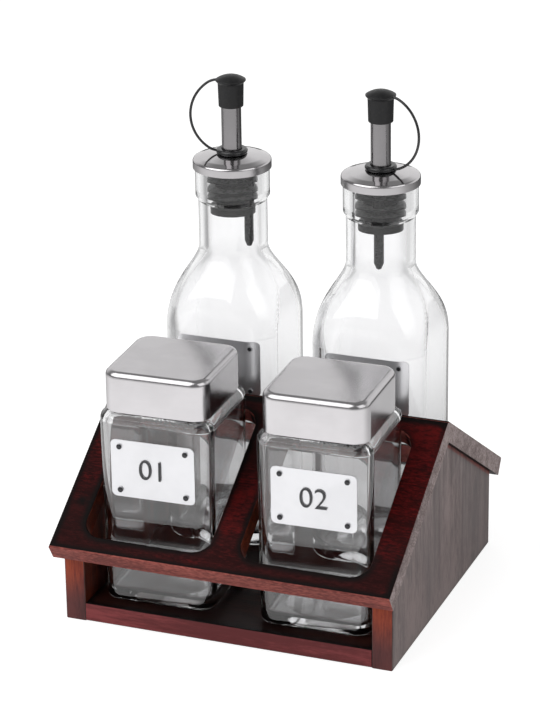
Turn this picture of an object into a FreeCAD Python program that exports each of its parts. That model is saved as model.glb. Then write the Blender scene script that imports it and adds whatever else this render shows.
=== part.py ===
import FreeCAD, Part
import math
import os

# Cruet stand: a small gabled wooden stand that holds two square glass jars with steel
# lids in front and two square glass bottles with steel pourers behind.
# All sizes are in millimetres. X runs to the right, Y to the back and Z up, and the
# origin is the middle of the stand's underside.

# Glass jars
jar_side = 49.0
jar_taper = 1.0
jar_height = 84.0
jar_corner = 7.0
jar_wall = 2.7
jar_floor = 4.0
jar_heel = 3.0
jar_shoulder = 3.5
jar_push_up = 1.6
jar_neck_wall = 2.6
jar_neck_height = 9.0
jar_neck_bead = 0.8
jar_turn = 1.75

# Lids: a pressed steel shell around a moulded liner that is pushed over the neck
lid_set_in = 2.1
lid_corner = 7.0
lid_height = 17.0
lid_sheet = 0.6
lid_roll = 2.6
lid_gap = 0.2
liner_wall = 3.7
liner_socket_play = 0.1
liner_plug_depth = 3.0
liner_plug_wall = 1.5
liner_plug_play = 0.08

# Glass bottles
bottle_side = 49.4
bottle_corner = 11.0
bottle_wall = 2.6
bottle_floor = 5.0
bottle_heel = 4.0
bottle_push_up = 2.0
bottle_body = 95.0
shoulder_rise = 34.0
neck_radius = 14.4
neck_wall = 3.7
neck_length = 20.6
lip_bead = 1.2
lip_height = 14.4
lip_round = 1.6

# The shoulder narrows along a soft S curve while its corners grow to a full circle.
shoulder_stations = 9
shoulder_drop = 1.67
shoulder_rounding = 0.85

# Label plates with four low studs
label_width = 36.0
label_height = 25.0
label_sheet = 0.4
label_corner = 2.2
stud_radius = 1.1
stud_height = 0.25
stud_inset_x = 3.8
stud_inset_z = 3.0
salt_label_shift = 0.1
salt_label_below_top = 23.0
pepper_label_shift = 1.4
pepper_label_below_top = 24.6
bottle_label_shift = 2.2
bottle_label_below_shoulder = 12.6

# Pourers: steel disc, rubber stopper with fins, steel spout and a plastic air tube.
# Heights above or below are measured from the top of the glass lip.
disc_sheet = 0.6
disc_play = 0.25
disc_skirt_below = 1.55
disc_edge_above = 2.1
disc_shoulder_above = 3.1
disc_crown_above = 4.2
disc_shoulder_set_in = 2.6
disc_flat_margin = 0.1
disc_edge_round = 1.15
spout_radius = 4.15
spout_wall = 0.5
spout_above = 31.5
spout_below = 19.0
stopper_below = 20.5
stopper_wall = 3.0
stopper_head_margin = 0.4
fins_below = (6.0, 10.2, 13.4)
fin_play = 0.1
foot_disc_margin = 0.4
foot_disc_height = 3.0
fit_play = 0.05
air_tube_radius = 1.95
air_tube_wall = 0.45
air_tube_web = 0.45
air_tube_cover = 0.5
air_tube_tip_radius = 1.0
air_tube_tip_height = 2.4
air_tube_top_below = 5.0
air_tube_end_below = 36.1
oil_air_tube_angle = 20.0
vinegar_air_tube_angle = -77.0

# Dust caps, tied to a ring on the spout by a thin strap. Heights above or below are
# measured from the mouth of the spout.
ring_wall = 2.4
ring_height = 2.2
ring_round = 1.05
cap_skirt_below = 6.8
cap_bore_above = 1.2
cap_flange_above = 4.2
cap_flange_edge = 0.4
cap_flange_taper = 1.1
cap_dome = 2.0
cap_flange_wall = 2.15
cap_skirt_wall = 1.25
cap_skirt_end_wall = 1.0
strap_radius = 0.55
oil_strap_reach = 17.0
vinegar_strap_reach = 18.4
strap_end_share = 0.65
oil_strap_angle = 196.0
vinegar_strap_angle = -14.0

# Wooden stand: boards and the clearances between the wood and the glass
side_board = 9.0
base_thickness = 8.0
roof_board = 8.0
ridge_height = 83.4
roof_slope = 32.4
roof_side_overhang = 2.1
eave_overhang = 10.1
arris = 0.7
opening_play = 2.9
opening_web = 12.6
opening_set_in = 1.0
opening_corner = 8.0
opening_high_margin = 8.2
opening_low_margin = 7.8
gap_to_ridge_side = 1.2
gap_to_eave_side = 5.2
jar_off_centre = 0.1
bottle_off_centre = -1.15

# Hidden wooden dowels
dowel_radius = 2.0
dowel_play = 0.05
base_dowel_in_board = 12.0
base_dowel_in_side = 6.0
base_dowel_from_end = 23.5
roof_dowel_in_board = 5.0
roof_dowel_in_side = 12.0
roof_dowel_from_ridge = 20.0
roof_dowel_from_eave = 17.2

# Places and sizes that follow from the ones above
slope = math.radians(roof_slope)
widest_glass = max(jar_side, bottle_side)
opening_width = widest_glass + 2 * opening_play
opening_spacing = opening_width + opening_web
stand_width = 2 * (side_board + opening_set_in + opening_width) + opening_web
glass_from_ridge = opening_high_margin * math.cos(slope) + gap_to_ridge_side + widest_glass / 2
opening_reach = glass_from_ridge + widest_glass / 2 + gap_to_eave_side
roof_length = (opening_reach + roof_board * math.sin(slope)) / math.cos(slope) + opening_low_margin
stand_depth = 2 * (roof_length * math.cos(slope) - eave_overhang)
apex_height = ridge_height - roof_board / math.cos(slope)
eave_height = apex_height - stand_depth / 2 * math.tan(slope)
jar_from_middle = opening_spacing / 2 + jar_off_centre
bottle_from_middle = opening_spacing / 2 + bottle_off_centre

jar_foot = jar_side - jar_taper
lid_side = jar_side - 2 * lid_set_in
liner_side = lid_side - 2 * lid_sheet
jar_neck_radius = liner_side / 2 - liner_wall - liner_socket_play - jar_neck_bead
jar_bore = jar_neck_radius - jar_neck_wall

shoulder_end = bottle_body + shoulder_rise
lip_start = shoulder_end + neck_length
lip_top = lip_start + lip_height
lip_radius = neck_radius + lip_bead
neck_bore = neck_radius - neck_wall

disc_radius = lip_radius + disc_play + disc_sheet
disc_edge = lip_top + disc_edge_above
disc_shoulder_radius = lip_radius - disc_shoulder_set_in
disc_shoulder_height = lip_top + disc_shoulder_above
disc_crown = lip_top + disc_crown_above
ring_radius = spout_radius + fit_play + ring_wall
disc_flat_radius = ring_radius + disc_flat_margin
spout_top = lip_top + spout_above
stopper_low = lip_top - stopper_below
stopper_core = spout_radius + fit_play + stopper_wall
air_tube_offset = spout_radius + air_tube_web + air_tube_radius + fit_play
air_tube_top = lip_top - air_tube_top_below
foot_disc_radius = air_tube_offset + air_tube_radius + air_tube_cover + foot_disc_margin
cap_low = spout_top - cap_skirt_below
cap_bore_top = spout_top + cap_bore_above
cap_flange_low = spout_top + cap_flange_above
cap_flange_top = cap_flange_low + cap_flange_edge
cap_flange_radius = spout_radius + cap_flange_wall

V = FreeCAD.Vector
UP = V(0, 0, 1)


def box(low, high):
    """Block between two opposite corners."""
    size = V(*high) - V(*low)
    return Part.makeBox(size.x, size.y, size.z, V(*low))


def cylinder(radius, start, end):
    """Round bar between two points."""
    along = end - start
    return Part.makeCylinder(radius, along.Length, start, along)


def rounded_rectangle(width, depth, corner, height):
    """Outline of a rectangle with round corners, level and centred on the Z axis."""
    arcs = []
    for quarter, (side_x, side_y) in enumerate(((1, 1), (-1, 1), (-1, -1), (1, -1))):
        centre = V(side_x * (width / 2 - corner), side_y * (depth / 2 - corner), height)
        spokes = [math.pi / 2 * (quarter + share) for share in (0, 0.5, 1)]
        points = [centre + V(math.cos(a), math.sin(a), 0) * corner for a in spokes]
        arcs.append((points, Part.Arc(*points).toShape()))
    edges = []
    for quarter, (points, arc) in enumerate(arcs):
        following = arcs[(quarter + 1) % 4][0]
        edges += [arc, Part.makeLine(points[2], following[0])]
    return Part.Wire(edges)


def prism(width, depth, corner, low, high):
    """Upright block with round vertical corners."""
    outline = rounded_rectangle(width, depth, corner, low)
    return Part.Face(outline).extrude(UP * (high - low))


def turned(profile):
    """Solid turned about the Z axis from (radius, height) points."""
    points = [V(radius, 0, height) for radius, height in profile]
    face = Part.Face(Part.makePolygon(points + points[:1]))
    return face.revolve(V(0, 0, 0), UP, 360)


def round_edges(shape, radius, chosen):
    """Round every edge for which chosen(edge) is true."""
    return shape.makeFillet(radius, [edge for edge in shape.Edges if chosen(edge)])


def at_height(height):
    """Test for edges that lie level at one height."""
    return lambda edge: abs(edge.BoundBox.ZMin - height) < 0.01 and abs(edge.BoundBox.ZMax - height) < 0.01


def round_outside(shape, radius, bore, heights):
    """Round the level edges at some heights that lie outside a bore."""
    def chosen(edge):
        outside = edge.BoundBox.XLength > 2 * bore + 0.5
        return outside and any(at_height(height)(edge) for height in heights)

    return round_edges(shape, radius, chosen)


def save(shape, node):
    shape.exportStep("parts/" + node + ".step")


def base_dowel_bars(radius):
    """Level bars through the joints between the base and the side panels."""
    joint = stand_width / 2 - side_board
    from_middle = stand_depth / 2 - base_dowel_from_end
    bars = []
    for side in (-1, 1):
        for y in (-from_middle, from_middle):
            inner = V(side * (joint - base_dowel_in_board), y, base_thickness / 2)
            outer = V(side * (joint + base_dowel_in_side), y, base_thickness / 2)
            bars.append(cylinder(radius, inner, outer))
    return Part.makeCompound(bars)


def roof_dowel_bars(radius):
    """Bars square to the slopes, through the joints between roof and side panels."""
    eave_end = stand_depth / 2 / math.cos(slope)
    bars = []
    for end in (-1, 1):
        down = V(0, end * math.cos(slope), -math.sin(slope))
        outward = V(0, end * math.sin(slope), math.cos(slope))
        for side in (-1, 1):
            apex = V(side * (stand_width - side_board) / 2, 0, apex_height)
            for distance in (roof_dowel_from_ridge, eave_end - roof_dowel_from_eave):
                joint = apex + down * distance
                low = joint - outward * roof_dowel_in_side
                bars.append(cylinder(radius, low, joint + outward * roof_dowel_in_board))
    return Part.makeCompound(bars)


def side_panel(side):
    """Gabled side panel that stands on the floor; side is -1 for left, 1 for right."""
    half = stand_depth / 2
    inner = side * (stand_width / 2 - side_board)
    gable = [(-half, 0), (half, 0), (half, eave_height), (0, apex_height), (-half, eave_height)]
    points = [V(inner, y, z) for y, z in gable]
    panel = Part.Face(Part.makePolygon(points + points[:1])).extrude(V(side * side_board, 0, 0))
    outside = side * stand_width / 2

    def eased(edge):
        centre = edge.CenterOfMass
        on_outside = abs(centre.x - outside) < 0.01
        end_upright = abs(abs(centre.y) - half) < 0.01 and edge.BoundBox.ZLength > 1
        return (on_outside and centre.z < eave_height) or end_upright

    panel = round_edges(panel, arris, eased)
    holes = roof_dowel_bars(dowel_radius + dowel_play).fuse(base_dowel_bars(dowel_radius + dowel_play))
    return panel.cut(holes)


def base_board():
    """Floor board between the side panels, flush with their front and back edges."""
    half_width = stand_width / 2 - side_board
    half_depth = stand_depth / 2
    board = box((-half_width, -half_depth, 0), (half_width, half_depth, base_thickness))
    board = round_edges(board, arris, lambda edge: edge.BoundBox.XLength > 1 and edge.BoundBox.YLength < 1)
    return board.cut(base_dowel_bars(dowel_radius + dowel_play))


def front_roof_panel():
    """Sloping board, cut plumb at the ridge, with two openings cut square to its face."""
    down = V(0, -math.cos(slope), -math.sin(slope))
    inward = V(0, math.sin(slope), -math.cos(slope))
    ridge = V(0, 0, ridge_height)
    eave = ridge + down * roof_length
    underside = V(0, 0, apex_height)
    width = stand_width + 2 * roof_side_overhang
    shift = V(-width / 2, 0, 0)
    section = [ridge + shift, eave + shift, eave + inward * roof_board + shift, underside + shift]
    board = Part.Face(Part.makePolygon(section + section[:1])).extrude(V(width, 0, 0))
    length = roof_length - opening_low_margin - opening_high_margin
    middle = eave - down * (opening_low_margin + length / 2)
    tilt = FreeCAD.Rotation(V(1, 0, 0), roof_slope)
    for side in (-1, 1):
        cutter = prism(opening_width, length, opening_corner, -2 * roof_board, roof_board)
        place = middle + V(side * opening_spacing / 2, 0, 0)
        cutter.Placement = FreeCAD.Placement(place, tilt)
        board = board.cut(cutter)

    def on_top_face(edge):
        ends = [vertex.Point for vertex in edge.Vertexes]
        return all(abs((point - ridge).dot(inward)) < 0.01 for point in ends)

    return round_edges(board, arris, on_top_face)


def jar_width(height):
    """Width of the tapering jar at a height above its foot."""
    return jar_foot + jar_taper * height / jar_height


def jar_block(inset, low, high):
    """Part of the tapering body of a jar between two heights, inset from its sides."""
    outlines = []
    for height in (low, high):
        side = jar_width(height) - 2 * inset
        outlines.append(rounded_rectangle(side, side, max(jar_corner - inset, 1), height))
    return Part.makeLoft(outlines, True, True)


def dome(width, low, rise):
    """Lens-shaped cap that is flat below."""
    radius = ((width / 2) ** 2 + rise ** 2) / (2 * rise)
    ball = Part.makeSphere(radius, V(0, 0, low + rise - radius))
    return ball.common(prism(2 * width, 2 * width, 1, low, low + 2 * rise))


def jar():
    """Thick square jar with a heel, a rounded shoulder, a raised floor and a round neck."""
    body = round_edges(jar_block(0, 0, jar_height), jar_heel, at_height(0))
    body = round_edges(body, jar_shoulder, at_height(jar_height))
    cavity = jar_block(jar_wall, jar_floor, jar_height - jar_wall)
    cavity = round_edges(cavity, jar_heel, at_height(jar_floor))
    cavity = round_edges(cavity, jar_wall, at_height(jar_height - jar_wall))
    inside = jar_foot - 2 * jar_wall - 2 * jar_heel
    cavity = cavity.cut(dome(inside, jar_floor, 2 * jar_push_up))
    top = jar_height + jar_neck_height
    bead = jar_neck_radius + jar_neck_bead
    neck = turned((
        (jar_bore, jar_height - 1),
        (jar_neck_radius, jar_height - 1),
        (jar_neck_radius, top - 4.0),
        (bead, top - 3.2),
        (bead, top - 0.8),
        (jar_neck_radius, top),
        (jar_bore, top),
    ))
    mouth = cylinder(jar_bore, V(0, 0, jar_height / 2), V(0, 0, top + 1))
    hollow = cavity.fuse(mouth)
    underside = jar_foot - 4 * jar_heel
    return body.fuse(neck).cut(hollow).cut(dome(underside, 0, jar_push_up))


def lid_shell(low):
    """Pressed square cap with a rolled top edge, open below."""
    top = low + lid_height
    outer = prism(lid_side, lid_side, lid_corner, low, top)
    outer = round_edges(outer, lid_roll, at_height(top))
    inner = prism(liner_side, liner_side, lid_corner - lid_sheet, low - 1, top - lid_sheet)
    inner = round_edges(inner, lid_roll - lid_sheet, at_height(top - lid_sheet))
    return outer.cut(inner)


def lid_liner(low):
    """Square liner with a round socket for the neck and a plug ring for its mouth."""
    top = low + lid_height - lid_sheet
    ceiling = jar_height + jar_neck_height
    socket = jar_neck_radius + jar_neck_bead + liner_socket_play
    plug = jar_bore - liner_plug_play
    block = prism(liner_side, liner_side, lid_corner, low + 0.8, top)
    block = round_edges(block, lid_roll, at_height(top))
    block = block.cut(cylinder(socket, V(0, 0, low), V(0, 0, ceiling)))
    ring = turned((
        (plug - liner_plug_wall, ceiling - liner_plug_depth),
        (plug - 0.4, ceiling - liner_plug_depth),
        (plug, ceiling - liner_plug_depth + 0.8),
        (plug, ceiling + 0.5),
        (plug - liner_plug_wall, ceiling + 0.5),
    ))
    return block.fuse(ring)


def label_plate(shift, height, glass, glass_and_plate, width_at):
    """Plate that lies on the front of the glass, with a low round stud near each corner."""
    plate = prism(label_width, label_height, label_corner, 0, widest_glass)
    plate.rotate(V(0, 0, 0), V(1, 0, 0), 90)
    plate.translate(V(shift, -widest_glass / 4, height))
    plate = plate.common(glass_and_plate)
    for side_x in (-1, 1):
        for side_z in (-1, 1):
            x = shift + side_x * (label_width / 2 - stud_inset_x)
            z = height + side_z * (label_height / 2 - stud_inset_z)
            face = -width_at(z) / 2 - label_sheet - stud_height
            stud = cylinder(stud_radius, V(x, -widest_glass / 4, z), V(x, face, z))
            plate = plate.fuse(stud)
    return plate.cut(glass)


def bottle_upper(inset_low, inset_high, top):
    """Shoulder from the square body to the round neck, and the neck, inset from outside."""
    low_half = bottle_side / 2 - inset_low
    high_half = neck_radius - inset_high
    squareness = 1 - 2 * bottle_corner / bottle_side
    outlines = []
    for station in range(shoulder_stations + 1):
        share = station / shoulder_stations
        height = bottle_body + share * shoulder_rise
        half = high_half + (low_half - high_half) * math.cos(math.pi / 2 * share ** shoulder_drop) ** 2
        flat = half * max(squareness * math.cos(math.pi / 2 * share ** shoulder_rounding) ** 2, 0.004)
        outlines.append(rounded_rectangle(2 * half, 2 * half, half - flat, height))
    neck = Part.Face(outlines[-1]).extrude(UP * (top - shoulder_end))
    return Part.makeLoft(outlines, True, False).fuse(neck)


def bottle():
    """Square bottle with a soft shoulder, a long neck and a heavy lip."""
    body = prism(bottle_side, bottle_side, bottle_corner, 0, bottle_body)
    body = round_edges(body, bottle_heel, at_height(0))
    lip = turned((
        (0, lip_start - 1.5),
        (neck_radius - 0.25 * lip_bead, lip_start - 1.5),
        (lip_radius, lip_start + 1.0),
        (lip_radius, lip_top),
        (0, lip_top),
    ))
    lip = round_edges(lip, lip_round, at_height(lip_top))
    inner_side = bottle_side - 2 * bottle_wall
    inner_corner = bottle_corner / bottle_side * inner_side
    cavity = prism(inner_side, inner_side, inner_corner, bottle_floor, bottle_body)
    cavity = round_edges(cavity, bottle_heel, at_height(bottle_floor))
    cavity = cavity.cut(dome(inner_side - 2 * bottle_heel, bottle_floor, 2 * bottle_push_up))
    hollow = cavity.fuse(bottle_upper(bottle_wall, neck_wall, lip_top + 1))
    solid = body.fuse([bottle_upper(0, 0, lip_start + 1), lip])
    return solid.cut(hollow).cut(dome(bottle_side - 3.5 * bottle_heel, 0, bottle_push_up))


def disc_profile(drop):
    """Upper line of the disc, or its underside when drop is the sheet thickness."""
    return [
        (disc_flat_radius, disc_crown - drop),
        (disc_shoulder_radius, disc_shoulder_height - drop),
        (disc_radius - drop, disc_edge - drop),
    ]


def pourer_disc():
    """Domed steel disc with a soft edge and a short skirt around the glass lip."""
    hole = spout_radius + fit_play
    skirt_low = lip_top - disc_skirt_below
    outer = [(hole, disc_crown)] + disc_profile(0) + [(disc_radius, skirt_low)]
    inner = disc_profile(disc_sheet)[::-1] + [(hole, disc_crown - disc_sheet)]
    disc = turned(outer + [(disc_radius - disc_sheet, skirt_low)] + inner)
    disc = round_edges(disc, disc_edge_round, at_height(disc_edge))
    return round_edges(disc, 6 * disc_edge_round, at_height(disc_shoulder_height))


def beside_spout(shape, angle):
    """The shape moved from the middle to the air tube's place at an angle around the spout."""
    turn = math.radians(angle)
    shape.translate(V(air_tube_offset * math.cos(turn), air_tube_offset * math.sin(turn), 0))
    return shape


def stopper(air_tube_angle):
    """Rubber stopper: a head, three fins and a foot disc on one core, and a boss for the tube."""
    top = disc_crown - disc_sheet - fit_play
    bore = spout_radius + fit_play
    rim = lip_top + fit_play
    head = disc_shoulder_radius - stopper_head_margin
    slant = (disc_crown - disc_shoulder_height) / (disc_shoulder_radius - disc_flat_radius)
    head_top = top - slant * (head - disc_flat_radius)
    profile = [(bore, top), (disc_flat_radius, top), (head, head_top), (head, rim), (stopper_core, rim)]
    fin = neck_bore - fin_play
    for below in fins_below:
        height = lip_top - below
        profile += [(stopper_core, height + 1.2), (fin, height + 0.6)]
        profile += [(fin, height), (stopper_core, height - 0.9)]
    foot_top = stopper_low + foot_disc_height
    profile += [(stopper_core, foot_top), (foot_disc_radius, foot_top)]
    profile += [(foot_disc_radius, stopper_low), (bore, stopper_low)]
    boss_foot = UP * (stopper_low + foot_disc_height / 2)
    boss = cylinder(air_tube_radius + air_tube_cover, boss_foot, UP * (rim + 0.5))
    hole = cylinder(air_tube_radius + fit_play, UP * (stopper_low - 1), UP * air_tube_top)
    spout_hole = cylinder(bore, UP * (stopper_low - 1), UP * (top + 1))
    plug = turned(profile).fuse(beside_spout(boss, air_tube_angle))
    return plug.cut([beside_spout(hole, air_tube_angle), spout_hole])


def air_tube(angle):
    """Tube that lets air in behind the oil, drawn in to a narrow tip at its lower end."""
    inside = air_tube_radius - air_tube_wall
    tip = lip_top - air_tube_end_below
    tip_end = tip + air_tube_tip_height
    tube = turned((
        (air_tube_tip_radius - air_tube_wall, tip),
        (air_tube_tip_radius, tip),
        (air_tube_radius, tip_end),
        (air_tube_radius, air_tube_top),
        (inside, air_tube_top),
        (inside, tip_end),
    ))
    return beside_spout(tube, angle)


def spout_tube():
    """Straight steel tube with a rounded mouth."""
    inside = spout_radius - spout_wall
    low = lip_top - spout_below
    tube = turned(((inside, low), (spout_radius, low), (spout_radius, spout_top), (inside, spout_top)))
    return round_edges(tube, 0.2, at_height(spout_top))


def strap_ring():
    """Soft ring that holds the strap on the foot of the spout."""
    bore = spout_radius + fit_play
    top = disc_crown + ring_height
    ring = turned(((bore, disc_crown), (ring_radius, disc_crown), (ring_radius, top), (bore, top)))
    ring = round_outside(ring, ring_round, bore, (disc_crown, top))
    top_edges = [edge for edge in ring.Edges if at_height(top)(edge)]
    inner_edge = min(top_edges, key=lambda edge: edge.BoundBox.XLength)
    return ring.makeFillet(ring_round / 2, [inner_edge])


def dust_cap():
    """Rubber cap with a mushroom head and a slightly tapered skirt over the spout."""
    bore = spout_radius + fit_play
    shell = turned((
        (0, cap_flange_top),
        (cap_flange_radius, cap_flange_top),
        (cap_flange_radius, cap_flange_low),
        (spout_radius + cap_skirt_wall, cap_flange_low - cap_flange_taper),
        (spout_radius + cap_skirt_end_wall, cap_low),
        (bore, cap_low),
        (bore, cap_bore_top),
        (0, cap_bore_top),
    ))
    shell = round_outside(shell, 0.35, bore, (cap_low,))
    shell = shell.fuse(dome(2 * cap_flange_radius, cap_flange_top, cap_dome))
    return round_outside(shell, 0.15, bore, (cap_flange_low, cap_flange_top))


def bent_bar(radius, centre, start, turn, axis):
    """Round bar that bends about a centre, from a start point through an angle."""
    outline = Part.Wire(Part.makeCircle(radius, start, axis.cross(start - centre)))
    return Part.Face(outline).revolve(centre, axis, turn)


def strap(angle, outward, cap, ring):
    """Thin strap that springs in a three-arc bow from the cap's rim to the ring."""
    top = (cap_flange_low + cap_flange_top) / 2
    low = disc_crown + ring_height / 2
    root = cap_flange_radius - 0.8
    middle = V(root, 0, (top + low) / 2)
    half = (top - low) / 2
    reach = outward - root
    end_bend = strap_end_share * reach
    side_bend = (reach ** 2 + (half - end_bend) ** 2 - end_bend ** 2) / (2 * (reach - end_bend))
    level = V(0, 1, 0)
    side_centre = middle + V(reach - side_bend, 0, 0)
    end_turn = math.atan2(side_bend - reach, half - end_bend)
    bow = [bent_bar(strap_radius, side_centre, middle + V(reach, 0, 0), side, level)
           for side in (90 - math.degrees(end_turn), math.degrees(end_turn) - 90)]
    for side, start in ((1, middle + UP * half), (-1, middle - UP * half)):
        centre = middle + UP * side * (half - end_bend)
        bow.append(bent_bar(strap_radius, centre, start, side * math.degrees(end_turn), level))
    cord = bow[0].fuse(bow[1:]).removeSplitter()
    cord.rotate(V(0, 0, 0), UP, angle)
    return cord.cut(cap).cut(ring)


def place(shape, x, y, turn=0.0):
    """Copy of a shape set on the base board, turned about its own upright axis."""
    moved = shape.copy()
    moved.rotate(V(0, 0, 0), UP, turn)
    moved.translate(V(x, y, base_thickness))
    return moved


os.makedirs("parts", exist_ok=True)

save(side_panel(-1), "left_side_panel")
save(side_panel(1), "right_side_panel")
save(base_board(), "base_board")
roof_holes = roof_dowel_bars(dowel_radius + dowel_play)
front_roof = front_roof_panel()
save(front_roof.cut(roof_holes), "front_roof_panel")
save(front_roof.mirror(V(0, 0, 0), V(0, 1, 0)).cut(roof_holes), "rear_roof_panel")
save(base_dowel_bars(dowel_radius), "base_dowels")
save(roof_dowel_bars(dowel_radius), "roof_dowels")

glass_jar = jar()
lid_low = jar_height + lid_gap
jar_outside = jar_block(0, 0, jar_height)
jar_with_plate = jar_block(-label_sheet, 0, jar_height)
jar_pieces = {"jar": glass_jar, "lid_liner": lid_liner(lid_low), "lid_shell": lid_shell(lid_low)}
for name, side, shift, below in (
    ("salt", -1, salt_label_shift, salt_label_below_top),
    ("pepper", 1, pepper_label_shift, pepper_label_below_top),
):
    pieces = dict(jar_pieces)
    pieces["label"] = label_plate(shift, jar_height - below, jar_outside, jar_with_plate, jar_width)
    for piece, shape in pieces.items():
        save(place(shape, side * jar_from_middle, -glass_from_ridge, jar_turn), name + "_" + piece)

glass_bottle = bottle()
bottle_outside = prism(bottle_side, bottle_side, bottle_corner, 0, bottle_body)
grown = bottle_side + 2 * label_sheet
bottle_with_plate = prism(grown, grown, bottle_corner + label_sheet, 0, bottle_body)
bottle_label = label_plate(
    bottle_label_shift,
    bottle_body - bottle_label_below_shoulder,
    bottle_outside,
    bottle_with_plate,
    lambda height: bottle_side,
)
cap = dust_cap()
ring = strap_ring()
for name, side, air_angle, strap_angle, strap_reach in (
    ("oil", -1, oil_air_tube_angle, oil_strap_angle, oil_strap_reach),
    ("vinegar", 1, vinegar_air_tube_angle, vinegar_strap_angle, vinegar_strap_reach),
):
    pieces = {
        "bottle": glass_bottle,
        "label": bottle_label,
        "stopper": stopper(air_angle),
        "pourer_disc": pourer_disc(),
        "spout_tube": spout_tube(),
        "air_tube": air_tube(air_angle),
        "strap_ring": ring,
        "strap": strap(strap_angle, strap_reach, cap, ring),
        "dust_cap": cap,
    }
    for piece, shape in pieces.items():
        save(place(shape, side * bottle_from_middle, glass_from_ridge), name + "_" + piece)
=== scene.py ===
import math

import bmesh
import bpy
from mathutils import Matrix, Vector


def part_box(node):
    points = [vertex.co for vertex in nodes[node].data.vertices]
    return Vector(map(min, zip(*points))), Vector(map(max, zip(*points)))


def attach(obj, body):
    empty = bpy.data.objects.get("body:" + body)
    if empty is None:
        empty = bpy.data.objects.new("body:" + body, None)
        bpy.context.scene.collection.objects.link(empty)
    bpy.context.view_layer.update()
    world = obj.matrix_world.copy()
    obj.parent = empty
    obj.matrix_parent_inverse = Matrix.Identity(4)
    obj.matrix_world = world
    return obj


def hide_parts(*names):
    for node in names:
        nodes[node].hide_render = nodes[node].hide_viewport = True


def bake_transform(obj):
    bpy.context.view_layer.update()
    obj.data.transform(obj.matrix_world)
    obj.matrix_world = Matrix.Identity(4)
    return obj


# A gabled wooden cruet stand with two square glass jars and two square oil bottles.
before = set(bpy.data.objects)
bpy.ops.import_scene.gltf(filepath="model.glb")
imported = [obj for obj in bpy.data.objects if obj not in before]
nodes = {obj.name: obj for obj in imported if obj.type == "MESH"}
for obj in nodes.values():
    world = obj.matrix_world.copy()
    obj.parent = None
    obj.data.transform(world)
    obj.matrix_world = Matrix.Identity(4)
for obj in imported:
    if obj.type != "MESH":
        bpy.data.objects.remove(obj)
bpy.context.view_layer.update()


# Side panels: two gabled boards of close-grained hardwood that stand on the floor, the
# grain upright. They are stained dark mahogany and lacquered, glued and dowelled to the
# base and roof. The stain is thin on the sawn front and back edges, which glow red.
def add(tree, kind, inputs=(), **settings):
    """New shader node with its settings; each input is a socket and a value or a link."""
    node = tree.nodes.new("ShaderNode" + kind)
    for name, value in settings.items():
        setattr(node, name, value)
    for socket, value in inputs:
        if isinstance(value, bpy.types.NodeSocket):
            tree.links.new(value, node.inputs[socket])
        else:
            node.inputs[socket].default_value = value
    return node


def new_material(name):
    """New material with its node tree, Principled shader and texture coordinates."""
    material = bpy.data.materials.new(name)
    material.use_nodes = True
    tree = material.node_tree
    place = add(tree, "TexCoord").outputs
    return material, tree, tree.nodes["Principled BSDF"], place


def calc(tree, operation, *values):
    """Result of one calculation on values or links."""
    return add(tree, "Math", enumerate(values), operation=operation).outputs[0]


def product(tree, first, second):
    """Product of two shares."""
    return calc(tree, "MULTIPLY", first, second)


def mix(tree, share, first, second, blend="MIX"):
    """Colour between two others by a share."""
    pairs = ((0, share), (6, first), (7, second))
    return add(tree, "Mix", pairs, data_type="RGBA", blend_type=blend).outputs[2]


def curve(tree, value, low, high, to_low=0.0, to_high=1.0):
    """Value turned smoothly from one range into another."""
    pairs = ((0, value), (1, low), (2, high), (3, to_low), (4, to_high))
    return add(tree, "MapRange", pairs, interpolation_type="SMOOTHSTEP").outputs[0]


def noise(tree, place, scale, stretch=(1, 1, 1), shift=(0, 0, 0), turn=(0, 0, 0), detail=3.0, rough=0.55):
    """Noise on object coordinates, scale in lumps per metre, stretched along the grain."""
    pairs = ((0, place["Object"]), (1, shift), (2, turn))
    turned = add(tree, "Mapping", pairs).outputs[0]
    pairs = ((0, turned), (1, stretch))
    stretched = add(tree, "VectorMath", pairs, operation="MULTIPLY").outputs[0]
    pairs = ((0, stretched), ("Scale", scale), ("Detail", detail), ("Roughness", rough))
    return add(tree, "TexNoise", pairs).outputs[0]


def part_of(tree, vector, axis):
    """One part of a vector: 0 is from left to right, 1 from front to back and 2 upwards."""
    return add(tree, "SeparateXYZ", ((0, vector),)).outputs[axis]


def distance_along(tree, place, direction):
    """Distance of a point from the middle of the stand's foot along a direction."""
    pairs = ((0, place["Object"]), (1, direction))
    return add(tree, "VectorMath", pairs, operation="DOT_PRODUCT").outputs["Value"]


def facing(tree, place, axis, low=0.7, high=0.8, way=0):
    """Share that is one on faces that look along an axis, or only one way along it."""
    part = part_of(tree, place["Normal"], axis)
    if way:
        return curve(tree, product(tree, part, way), low, high)
    return curve(tree, calc(tree, "ABSOLUTE", part), low, high)


def between(tree, place, axis, low, high):
    """Share that grows from zero to one between two places along an axis, in metres."""
    return curve(tree, part_of(tree, place["Object"], axis), low, high)


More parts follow.
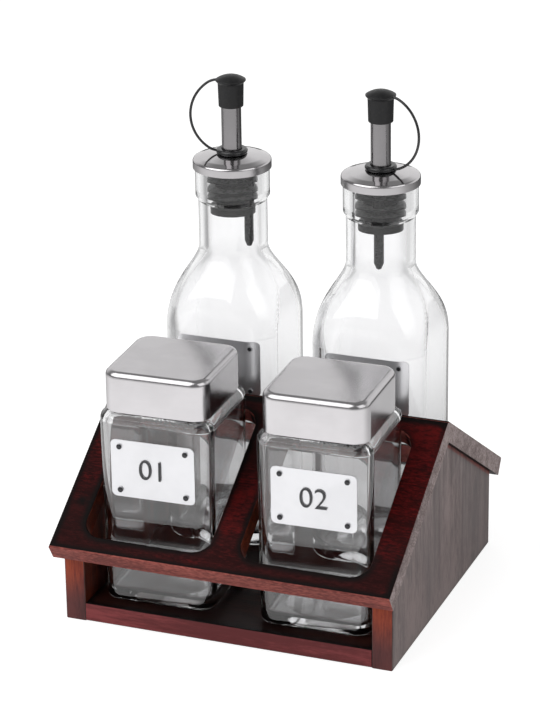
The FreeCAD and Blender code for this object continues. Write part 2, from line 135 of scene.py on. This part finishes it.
def stained_wood(name, grain, shift, colours, turn=(0, 0, 0), sheen=0.1, short=0.12, edge=1.0, layers=()):
    """Stained, lacquered hardwood. Grain is the stretch, none along the fibres, and short is
    how short these are. Colours are the dark, the light and the rubbed one, edge is how dark
    the stain lies along the arrises, and layers are extra shares with their two colours."""

    def drawn_out(least):
        """Stretch of a pattern that is drawn out along the fibres."""
        return [least + (1 - least) * across for across in grain]

    material, tree, shader, place = new_material(name)
    dark, light, rubbed = colours
    blotches = noise(tree, place, 24, drawn_out(0.5), shift, turn)
    streaks = noise(tree, place, 240, drawn_out(0.07), shift, turn)
    fibres = noise(tree, place, 1300, drawn_out(short), shift, turn, rough=0.7)
    figure = mix(tree, 0.35 + short, streaks, fibres)
    figure = mix(tree, 0.35, figure, blotches)
    figure = curve(tree, figure, 0.40, 0.60)
    stain = mix(tree, figure, (*dark, 1), (*light, 1))
    worn = mix(tree, 0.3, blotches, fibres)
    stain = mix(tree, curve(tree, worn, 0.50, 0.64), stain, (*rubbed, 1))

    rim_width = 0.004
    rim_stain = (0.005, 0.0035, 0.0035, 1)
    rim = add(tree, "AmbientOcclusion", ((1, rim_width),), samples=8, inside=True, only_local=True)
    uneven_rim = calc(tree, "MULTIPLY_ADD", blotches, 0.5, rim.outputs[1])
    dark_rim = product(tree, curve(tree, uneven_rim, 1.22, 0.92), edge)
    stain = mix(tree, dark_rim, stain, rim_stain)

    for share, low_colour, high_colour in layers:
        tint = mix(tree, figure, (*low_colour, 1), (*high_colour, 1))
        stain = mix(tree, share(tree, place), stain, tint)
    tree.links.new(stain, shader.inputs["Base Color"])
    tree.links.new(curve(tree, blotches, 0.3, 0.7, 0.42, 0.56), shader.inputs["Roughness"])
    shader.inputs["Specular IOR Level"].default_value = sheen
    bump = add(tree, "Bump", (("Height", fibres), ("Strength", 0.4), ("Distance", 0.00015)))
    tree.links.new(bump.outputs[0], shader.inputs["Normal"])
    return material


def dress(obj, material):
    """Give a piece its one material."""
    obj.data.materials.clear()
    obj.data.materials.append(material)


roof_slope = math.radians(32.4)
square_to_rear_board = (0, math.sin(roof_slope), math.cos(roof_slope))
side_stain = ((0.053, 0.030, 0.029), (0.130, 0.088, 0.084), (0.180, 0.132, 0.126))


def upper_half(tree, place):
    """Share that grows towards the gable, which is coloured lighter."""
    return product(tree, between(tree, place, 2, 0.01, 0.10), 0.8)


def sawn_edges(tree, place):
    """Share that is one on the sawn front and back edges."""
    return facing(tree, place, 1, 0.85, 0.95)


def glowing_edges(tree, place):
    """Share of the sawn edges that glows red, from a little above the floor."""
    return product(tree, sawn_edges(tree, place), between(tree, place, 2, 0.006, 0.033))


def under_rear_board(tree, place):
    """Share that is one in a thin line just under the rear roof board."""
    line = curve(tree, distance_along(tree, place, square_to_rear_board), 0.0605, 0.0616)
    return product(tree, line, between(tree, place, 1, 0.0, 0.004))


for name, inside, shift in (
    ("left_side_panel", 1, (0.3, 0.1, 0)),
    ("right_side_panel", -1, (1.7, 0.4, 0.2)),
):
    wood = stained_wood(
        name + "_wood",
        (1, 1, 0),
        shift,
        side_stain,
        sheen=0.3,
        edge=0.35,
        layers=(
            (upper_half, (0.125, 0.085, 0.082), (0.375, 0.303, 0.296)),
            (sawn_edges, (0.060, 0.014, 0.014), (0.120, 0.032, 0.030)),
            (glowing_edges, (0.22, 0.022, 0.010), (0.55, 0.085, 0.022)),
            # Inner faces: darker orange-brown, painted shade with warm bounced light inside the stand.
            (
                lambda tree, place: facing(tree, place, 0, way=inside),
                (0.030, 0.005, 0.003),
                (0.14, 0.022, 0.008),
            ),
            (under_rear_board, (0.10, 0.02, 0.015), (0.32, 0.06, 0.04)),
        ),
    )
    dress(nodes[name], wood)


# Base board: the floor of the stand, glued and dowelled between the side panels. Its
# front and back edges are flush with theirs, and its grain runs from side to side.
base_stain = ((0.010, 0.0035, 0.003), (0.026, 0.0085, 0.007), (0.045, 0.011, 0.008))


def long_edges(tree, place):
    """Share that is one on the long edges of a board, which look forwards or back."""
    return facing(tree, place, 1)


wood = stained_wood(
    "base_board_wood",
    (0, 1, 1),
    (0.2, 0.7, 0.1),
    base_stain,
    sheen=0.08,
    layers=((long_edges, (0.150, 0.038, 0.040), (0.300, 0.072, 0.075)),),
)
dress(nodes["base_board"], wood)


# Roof panels: two sloping boards that meet in a plumb joint at the ridge, each with two
# openings with rounded corners, cut square to the face and eased all round. The stain
# is rubbed thin in patches and dark along the arrises. A red glow of light through the
# lacquer is painted in the middle of the right margin, and an orange glow of light
# bounced inside the openings is painted on their side walls.
roof_stain = ((0.017, 0.0022, 0.0022), (0.042, 0.0055, 0.0055), (0.120, 0.006, 0.006))


def end_faces(tree, place):
    """Share that is one on the faces of a board that look left or right."""
    return facing(tree, place, 0)


def opening_walls_painted_glow(tree, place):
    """Share that is one on the side walls of the openings, short of the ends of the board, where an
    orange glow of bounced light is painted.
    """
    from_middle = calc(tree, "ABSOLUTE", part_of(tree, place["Object"], 0))
    return product(tree, end_faces(tree, place), curve(tree, from_middle, 0.0715, 0.0705))


def painted_glow_right_margin(tree, place):
    """Share that is one in the middle of the right margin, where a red glow of light through the lacquer
    is painted.
    """
    along = product(tree, between(tree, place, 1, -0.066, -0.046), between(tree, place, 1, 0.0, -0.026))
    return product(tree, product(tree, between(tree, place, 0, 0.050, 0.064), along), 0.75)


for name, side, shift in (
    ("front_roof_panel", -1, (2.5, 1.2, 0.7)),
    ("rear_roof_panel", 1, (0.9, 0.6, 0.8)),
):
    wood = stained_wood(
        name + "_wood",
        (0, 1, 1),
        shift,
        roof_stain,
        turn=(side * roof_slope, 0, 0),
        sheen=0.06,
        short=0.3,
        layers=(
            # Painted light: a red glow of light through the lacquer in the middle of the right margin.
            (painted_glow_right_margin, (0.035, 0.004, 0.004), (0.190, 0.008, 0.009)),
            (end_faces, (0.150, 0.108, 0.104), (0.410, 0.335, 0.327)),
            (long_edges, (0.180, 0.051, 0.045), (0.480, 0.134, 0.110)),
            # Painted light: an orange glow of light bounced inside the openings on their side walls.
            (opening_walls_painted_glow, (0.045, 0.008, 0.004), (0.18, 0.032, 0.012)),
        ),
    )
    dress(nodes[name], wood)


# Dowels: plain beech pins, glued into blind holes where the boards join. Nothing of them
# shows once the stand is together.
material, tree, shader, place = new_material("beech")
beech = mix(tree, noise(tree, place, 900, (1, 1, 0.1)), (0.42, 0.26, 0.14, 1), (0.60, 0.42, 0.25, 1))
tree.links.new(beech, shader.inputs["Base Color"])
shader.inputs["Roughness"].default_value = 0.6
for name in ("base_dowels", "roof_dowels"):
    dress(nodes[name], material)


# Jars and bottles: thick moulded glass, clear and faintly grey in its depth. The mould
# leaves slow upright waves in the walls. They stand loose in the openings of the roof.
def clear_glass(name, shift, depth_tint, film, frost):
    """Clear moulded glass with soft waves that run up the walls, greyer the deeper it is.
    Film is the shine of handling on it, and frost the faint haze of the mould skin."""
    material, tree, shader, place = new_material(name)
    shader.inputs["Base Color"].default_value = (0.995, 0.995, 1.0, 1)
    shader.inputs["Transmission Weight"].default_value = 1.0
    shader.inputs["IOR"].default_value = 1.5
    shader.inputs["Coat Weight"].default_value = film
    shader.inputs["Coat Roughness"].default_value = 0.02
    waves = noise(tree, place, 32, (1, 1, 0.3), shift, detail=1)
    seeds = noise(tree, place, 400, (1, 1, 0.6), shift, detail=1)
    bump = add(tree, "Bump", (("Height", waves), ("Strength", 0.5), ("Distance", 0.0006)))
    tree.links.new(bump.outputs[0], shader.inputs["Normal"])
    tree.links.new(curve(tree, seeds, 0.3, 0.7, frost, frost + 0.02), shader.inputs["Roughness"])
    depth = add(tree, "VolumeAbsorption", (("Color", (0.63, 0.64, 0.645, 1)), ("Density", depth_tint)))
    tree.links.new(depth.outputs[0], tree.nodes["Material Output"].inputs["Volume"])
    return material


for name, shift in (("salt_jar", (0, 0, 0)), ("pepper_jar", (0.4, 0.2, 0.1))):
    dress(nodes[name], clear_glass(name + "_glass", shift, depth_tint=6.0, film=0.6, frost=0.0))
for name, shift in (("oil_bottle", (0.8, 0.3, 0)), ("vinegar_bottle", (0.1, 0.9, 0.5))):
    dress(nodes[name], clear_glass(name + "_glass", shift, depth_tint=15.0, film=0.0, frost=0.03))


# Jar lids: pressed stainless shells with a rolled top edge, satin polished, pushed over a
# moulded liner of natural polyethylene that grips the neck of the jar.
def satin_steel(name, tint, rough, shift, rim_rough=None, metallic=1.0):
    """Satin polished stainless sheet with faint cloudy marks from the wheel. The upright
    sides of a turned piece may be rougher than its top, and lacquer makes it less metallic."""
    material, tree, shader, place = new_material(name)
    shader.inputs["Metallic"].default_value = metallic
    clouds = noise(tree, place, 60, shift=shift)
    hairs = noise(tree, place, 1800, (0.05, 1, 1), shift=shift, detail=2)
    dull = (*[0.93 * part for part in tint], 1)
    steel = mix(tree, curve(tree, clouds, 0.3, 0.7), dull, (*tint, 1))
    tree.links.new(steel, shader.inputs["Base Color"])
    if rim_rough:
        rough = curve(tree, facing(tree, place, 2, 0.1, 0.6), 0.0, 1.0, rim_rough, rough)
    tree.links.new(calc(tree, "MULTIPLY_ADD", hairs, 0.10, rough), shader.inputs["Roughness"])
    bump = add(tree, "Bump", (("Height", hairs), ("Strength", 0.15), ("Distance", 0.00005)))
    tree.links.new(bump.outputs[0], shader.inputs["Normal"])
    return material


lid_tint = (0.535, 0.52, 0.532)
for name, shift in (("salt_lid_shell", (0, 0, 0)), ("pepper_lid_shell", (0.3, 0.1, 0))):
    dress(nodes[name], satin_steel(name + "_steel", lid_tint, 0.17, shift))

material, tree, shader, place = new_material("natural_polyethylene")
milky = mix(tree, noise(tree, place, 300), (0.62, 0.62, 0.60, 1), (0.74, 0.74, 0.72, 1))
tree.links.new(milky, shader.inputs["Base Color"])
shader.inputs["Roughness"].default_value = 0.5
shader.inputs["Subsurface Weight"].default_value = 0.2
shader.inputs["Subsurface Scale"].default_value = 0.001
for name in ("salt_lid_liner", "pepper_lid_liner"):
    dress(nodes[name], material)


# Label plates: thin satin metal plates, lacquered, on the front of the glass. Each has
# four dark rivet heads near its corners and a plain printed numeral.
plate_width = 0.036
plate_height = 0.025
rivet_inset_x = 0.0038
rivet_inset_z = 0.0030
rivet_radius = 0.00115
rivet_flatness = 0.35
rivet_set_back = 0.00025
numeral_size = 0.0125
numeral_set_back = 0.00023
ink_thickness = 0.00003
stroke_trim = 0.00012
jar_turn = math.radians(1.75)
scene = bpy.context.scene

plate_tint = (0.73, 0.73, 0.75)
plate_steel = satin_steel("label_plate_metal", plate_tint, 0.28, (0.2, 0.2, 0.2), metallic=0.75)

rivet_metal, tree, shader, place = new_material("rivet_black")
grimy = mix(tree, noise(tree, place, 2500), (0.02, 0.02, 0.022, 1), (0.07, 0.07, 0.075, 1))
tree.links.new(grimy, shader.inputs["Base Color"])
shader.inputs["Metallic"].default_value = 0.6
shader.inputs["Roughness"].default_value = 0.3

ink, tree, shader, place = new_material("label_ink")
speckled = mix(tree, noise(tree, place, 4000), (0.025, 0.025, 0.03, 1), (0.06, 0.06, 0.065, 1))
tree.links.new(speckled, shader.inputs["Base Color"])
shader.inputs["Roughness"].default_value = 0.45


def mesh_of(name, shape, smooth):
    """Mesh made from a finished bmesh."""
    for face in shape.faces:
        face.smooth = smooth
    mesh = bpy.data.meshes.new(name)
    shape.to_mesh(mesh)
    shape.free()
    return mesh


def new_piece(name, mesh, material):
    """Object at the origin for a finished mesh."""
    obj = bpy.data.objects.new(name, mesh)
    scene.collection.objects.link(obj)
    dress(obj, material)
    return obj


def front_of(label, set_back):
    """Middle of a label plate, set back a little from the front of its studs."""
    low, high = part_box(label)
    centre = (low + high) / 2
    return Vector((centre.x, low.y + set_back, centre.z))


def rivets(name, label, body, turn):
    """Four low domed rivet heads over the studs of a label plate."""
    shape = bmesh.new()
    for side_x in (-1, 1):
        for side_z in (-1, 1):
            made = bmesh.ops.create_uvsphere(shape, u_segments=20, v_segments=10, radius=rivet_radius)
            dome = made["verts"]
            bmesh.ops.scale(shape, vec=(1, rivet_flatness, 1), verts=dome)
            x = side_x * (plate_width / 2 - rivet_inset_x)
            z = side_z * (plate_height / 2 - rivet_inset_z)
            bmesh.ops.translate(shape, vec=(x, 0, z), verts=dome)
    bmesh.ops.rotate(shape, cent=(0, 0, 0), matrix=Matrix.Rotation(turn, 3, "Z"), verts=shape.verts)
    bmesh.ops.translate(shape, vec=front_of(label, rivet_set_back), verts=shape.verts)
    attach(new_piece(name, mesh_of(name, shape, True), rivet_metal), body)


def numeral(name, text, label, body, turn):
    """Plain printed numeral in the middle of a label plate."""
    words = bpy.data.curves.new(name, "FONT")
    words.body = text
    words.size = numeral_size
    words.align_x = "CENTER"
    words.align_y = "CENTER"
    words.extrude = ink_thickness
    words.resolution_u = 6
    words.offset = -stroke_trim
    holder = bpy.data.objects.new(name + "_curve", words)
    scene.collection.objects.link(holder)
    bpy.context.view_layer.update()
    mesh = bpy.data.meshes.new_from_object(holder)
    bpy.data.objects.remove(holder)
    mesh.transform(Matrix.Rotation(turn, 4, "Z") @ Matrix.Rotation(math.radians(90), 4, "X"))
    mesh.transform(Matrix.Translation(front_of(label, numeral_set_back)))
    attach(new_piece(name, mesh, ink), body)


for name, text, kind, turn in (
    ("salt", "01", "_jar_body", jar_turn),
    ("pepper", "02", "_jar_body", jar_turn),
    ("oil", "03", "_bottle_body", 0.0),
    ("vinegar", "04", "_bottle_body", 0.0),
):
    dress(nodes[name + "_label"], plate_steel)
    rivets(name + "_label_rivets", name + "_label", name + kind, turn)
    numeral(name + "_label_numeral", text, name + "_label", name + kind, turn)


# Pourers: a polished stainless disc and spout in a black rubber stopper, with a black
# plastic air tube beside the spout. A thin strap ties the rubber dust cap to a ring on
# the spout.
def black_rubber(name, sheen, rough, grey=1.0, painted_top_light=0.0):
    """Black moulded rubber with a little dust in its grain. Faces that look up may get a painted
    highlight of light from above through the glass, patchy like the dust.
    """
    material, tree, shader, place = new_material(name)
    dust = noise(tree, place, 700, detail=4)
    grain = noise(tree, place, 5000, detail=2)
    clean = (0.006 * grey, 0.006 * grey, 0.007 * grey, 1)
    dusty = (0.016 * grey, 0.0155 * grey, 0.016 * grey, 1)
    worn = mix(tree, curve(tree, dust, 0.45, 0.75), clean, dusty)
    # Painted highlight: faces that look up are lightened as if lit from above.
    if painted_top_light:
        level = facing(tree, place, 2, 0.15, 0.7, way=1)
        lit_tops = product(tree, level, curve(tree, dust, 0.35, 0.6, 0.3, 1.0))
        worn = mix(tree, lit_tops, worn, (painted_top_light, painted_top_light, painted_top_light, 1))
    tree.links.new(worn, shader.inputs["Base Color"])
    tree.links.new(curve(tree, dust, 0.3, 0.7, rough, rough + 0.14), shader.inputs["Roughness"])
    shader.inputs["Specular IOR Level"].default_value = sheen
    bump = add(tree, "Bump", (("Height", grain), ("Strength", 0.25), ("Distance", 0.0001)))
    tree.links.new(bump.outputs[0], shader.inputs["Normal"])
    return material


disc_tint = (0.54, 0.525, 0.535)
spout_tint = (0.29, 0.28, 0.286)
cap_rubber = black_rubber("cap_rubber", sheen=0.38, rough=0.38)
stopper_rubber = black_rubber("stopper_rubber", sheen=0.2, rough=0.34, grey=0.5, painted_top_light=0.22)
strap_rubber = black_rubber("strap_rubber", sheen=0.55, rough=0.16, grey=1.4)
tube_plastic = black_rubber("air_tube_plastic", sheen=0.4, rough=0.22, grey=0.8)
weld_distance = 0.000005

for name in ("oil", "vinegar"):
    disc_steel = satin_steel(name + "_disc_steel", disc_tint, 0.05, (0.1, 0.3, 0.2), rim_rough=0.26)
    spout_steel = satin_steel(name + "_spout_steel", spout_tint, 0.14, (0.5, 0.1, 0.4))
    dress(nodes[name + "_pourer_disc"], disc_steel)
    dress(nodes[name + "_spout_tube"], spout_steel)
    dress(nodes[name + "_stopper"], stopper_rubber)
    dress(nodes[name + "_strap_ring"], strap_rubber)
    dress(nodes[name + "_dust_cap"], cap_rubber)
    dress(nodes[name + "_air_tube"], tube_plastic)
    shape = bmesh.new()
    shape.from_mesh(nodes[name + "_strap"].data)
    bmesh.ops.remove_doubles(shape, verts=shape.verts, dist=weld_distance)
    bow = new_piece(name + "_strap_bow", mesh_of(name + "_strap_bow", shape, True), strap_rubber)
    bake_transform(bow)
    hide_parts(name + "_strap")


# Studio floor: white paper that keeps a soft shadow and looks white to the camera.
# Reflections show it brighter in front and darker behind and far off, and the glass
# shows it darker to the sides and, with a painted shadow of the stand, close behind it.
across_the_view = (0.932, 0.361, 0)
paper_glow = 0.78
floor_half_width = 12
floor_below_stand = 0.0002

paper, tree, shader, place = new_material("studio_paper")
rays = add(tree, "LightPath").outputs
seen = calc(tree, "MAXIMUM", rays["Is Camera Ray"], rays["Is Glossy Ray"])
seen = calc(tree, "MAXIMUM", seen, rays["Is Transmission Ray"])
radius = add(tree, "VectorMath", ((0, place["Object"]),), operation="LENGTH").outputs["Value"]
depth = part_of(tree, place["Object"], 1)

near_front = curve(tree, depth, -0.15, 0.15, 1.25, 0.66)
far_back = curve(tree, depth, 0.25, 0.50, 1.0, 0.25)
far_off = curve(tree, radius, 0.22, 0.60, 1.0, 0.60)
reflected = product(tree, product(tree, near_front, far_back), far_off)

aside = calc(tree, "ABSOLUTE", distance_along(tree, place, across_the_view))
# Painted shadow of the stand on the floor close behind it, as seen through the glass.
painted_shadow_behind_stand = curve(tree, depth, 0.12, 0.30, 0.45, 1.0)
refracted = product(tree, curve(tree, aside, 0.10, 0.34, 0.96, 0.66), painted_shadow_behind_stand)

share = mix(tree, rays["Is Transmission Ray"], reflected, refracted)
share = mix(tree, rays["Is Camera Ray"], share, curve(tree, radius, 0.8, 2.5, 1.0, 1.3))
tree.links.new(product(tree, product(tree, share, paper_glow), seen), shader.inputs["Emission Strength"])
shader.inputs["Emission Color"].default_value = (1, 1, 1, 1)
shown = mix(tree, 1.0, share, (0.5, 0.5, 0.5, 1), "MULTIPLY")
tree.links.new(mix(tree, seen, (0.8, 0.8, 0.8, 1), shown), shader.inputs["Base Color"])
shader.inputs["Roughness"].default_value = 1.0
shader.inputs["Specular IOR Level"].default_value = 0.0

shape = bmesh.new()
bmesh.ops.create_grid(shape, x_segments=1, y_segments=1, size=floor_half_width)
bmesh.ops.translate(shape, vec=(0, 0, -floor_below_stand), verts=shape.verts)
new_piece("studio_floor", mesh_of("studio_floor", shape, False), paper)


# Room and lamps: a pale room that darkens overhead and in front, with a large soft lamp
# high on the left and a weaker one on the right.
world = bpy.data.worlds.new("studio_room")
scene.world = world
world.use_nodes = True
tree = world.node_tree
direction = add(tree, "TexCoord").outputs["Generated"]
low_sky = curve(tree, part_of(tree, direction, 2), 0.42, 0.72, 1.0, 0.12)
behind = curve(tree, part_of(tree, direction, 1), -0.1, 0.7)
room = calc(tree, "MULTIPLY_ADD", product(tree, low_sky, behind), 0.78, 0.22)
level = calc(tree, "MAXIMUM", room, add(tree, "LightPath").outputs["Is Camera Ray"])
tree.links.new(level, tree.nodes["Background"].inputs["Strength"])
tree.nodes["Background"].inputs["Color"].default_value = (1, 1, 1, 1)


def soft_lamp(name, azimuth, elevation, distance, size, watts):
    """Large square lamp that faces the stand."""
    data = bpy.data.lights.new(name, "AREA")
    data.shape = "SQUARE"
    data.size = size
    data.energy = watts
    lamp = bpy.data.objects.new(name, data)
    scene.collection.objects.link(lamp)
    around = math.radians(azimuth)
    up = math.radians(elevation)
    back = Vector((math.sin(around) * math.cos(up), -math.cos(around) * math.cos(up), math.sin(up)))
    lamp.location = Vector((0, 0, 0.1)) + back * distance
    lamp.rotation_mode = "QUATERNION"
    lamp.rotation_quaternion = (-back).to_track_quat("-Z", "Y")


soft_lamp("key_lamp", azimuth=-40, elevation=48, distance=1.5, size=1.5, watts=16)
soft_lamp("fill_lamp", azimuth=75, elevation=35, distance=1.6, size=1.2, watts=6)


# Camera: to the right of the front and above the stand, with a long lens. Light paths
# are long enough for glass that stands inside or behind other glass.
camera_right = Vector((0.93239, 0.36121, -0.01366))
camera_up = Vector((-0.12404, 0.35523, 0.92651))
camera_forward = Vector((-0.33952, 0.86217, -0.37602))
camera_place = Vector((0.436311, -1.118631, 0.587559))
lens = bpy.data.cameras.new("camera")
lens.lens = 157.2
lens.sensor_width = 36
lens.clip_end = 100
camera = bpy.data.objects.new("camera", lens)
scene.collection.objects.link(camera)
turned = Matrix((camera_right, camera_up, -camera_forward)).transposed().to_4x4()
camera.matrix_world = Matrix.Translation(camera_place) @ turned
scene.camera = camera
scene.view_settings.view_transform = "Standard"
scene.cycles.max_bounces = 32
scene.cycles.glossy_bounces = 24
scene.cycles.transmission_bounces = 24
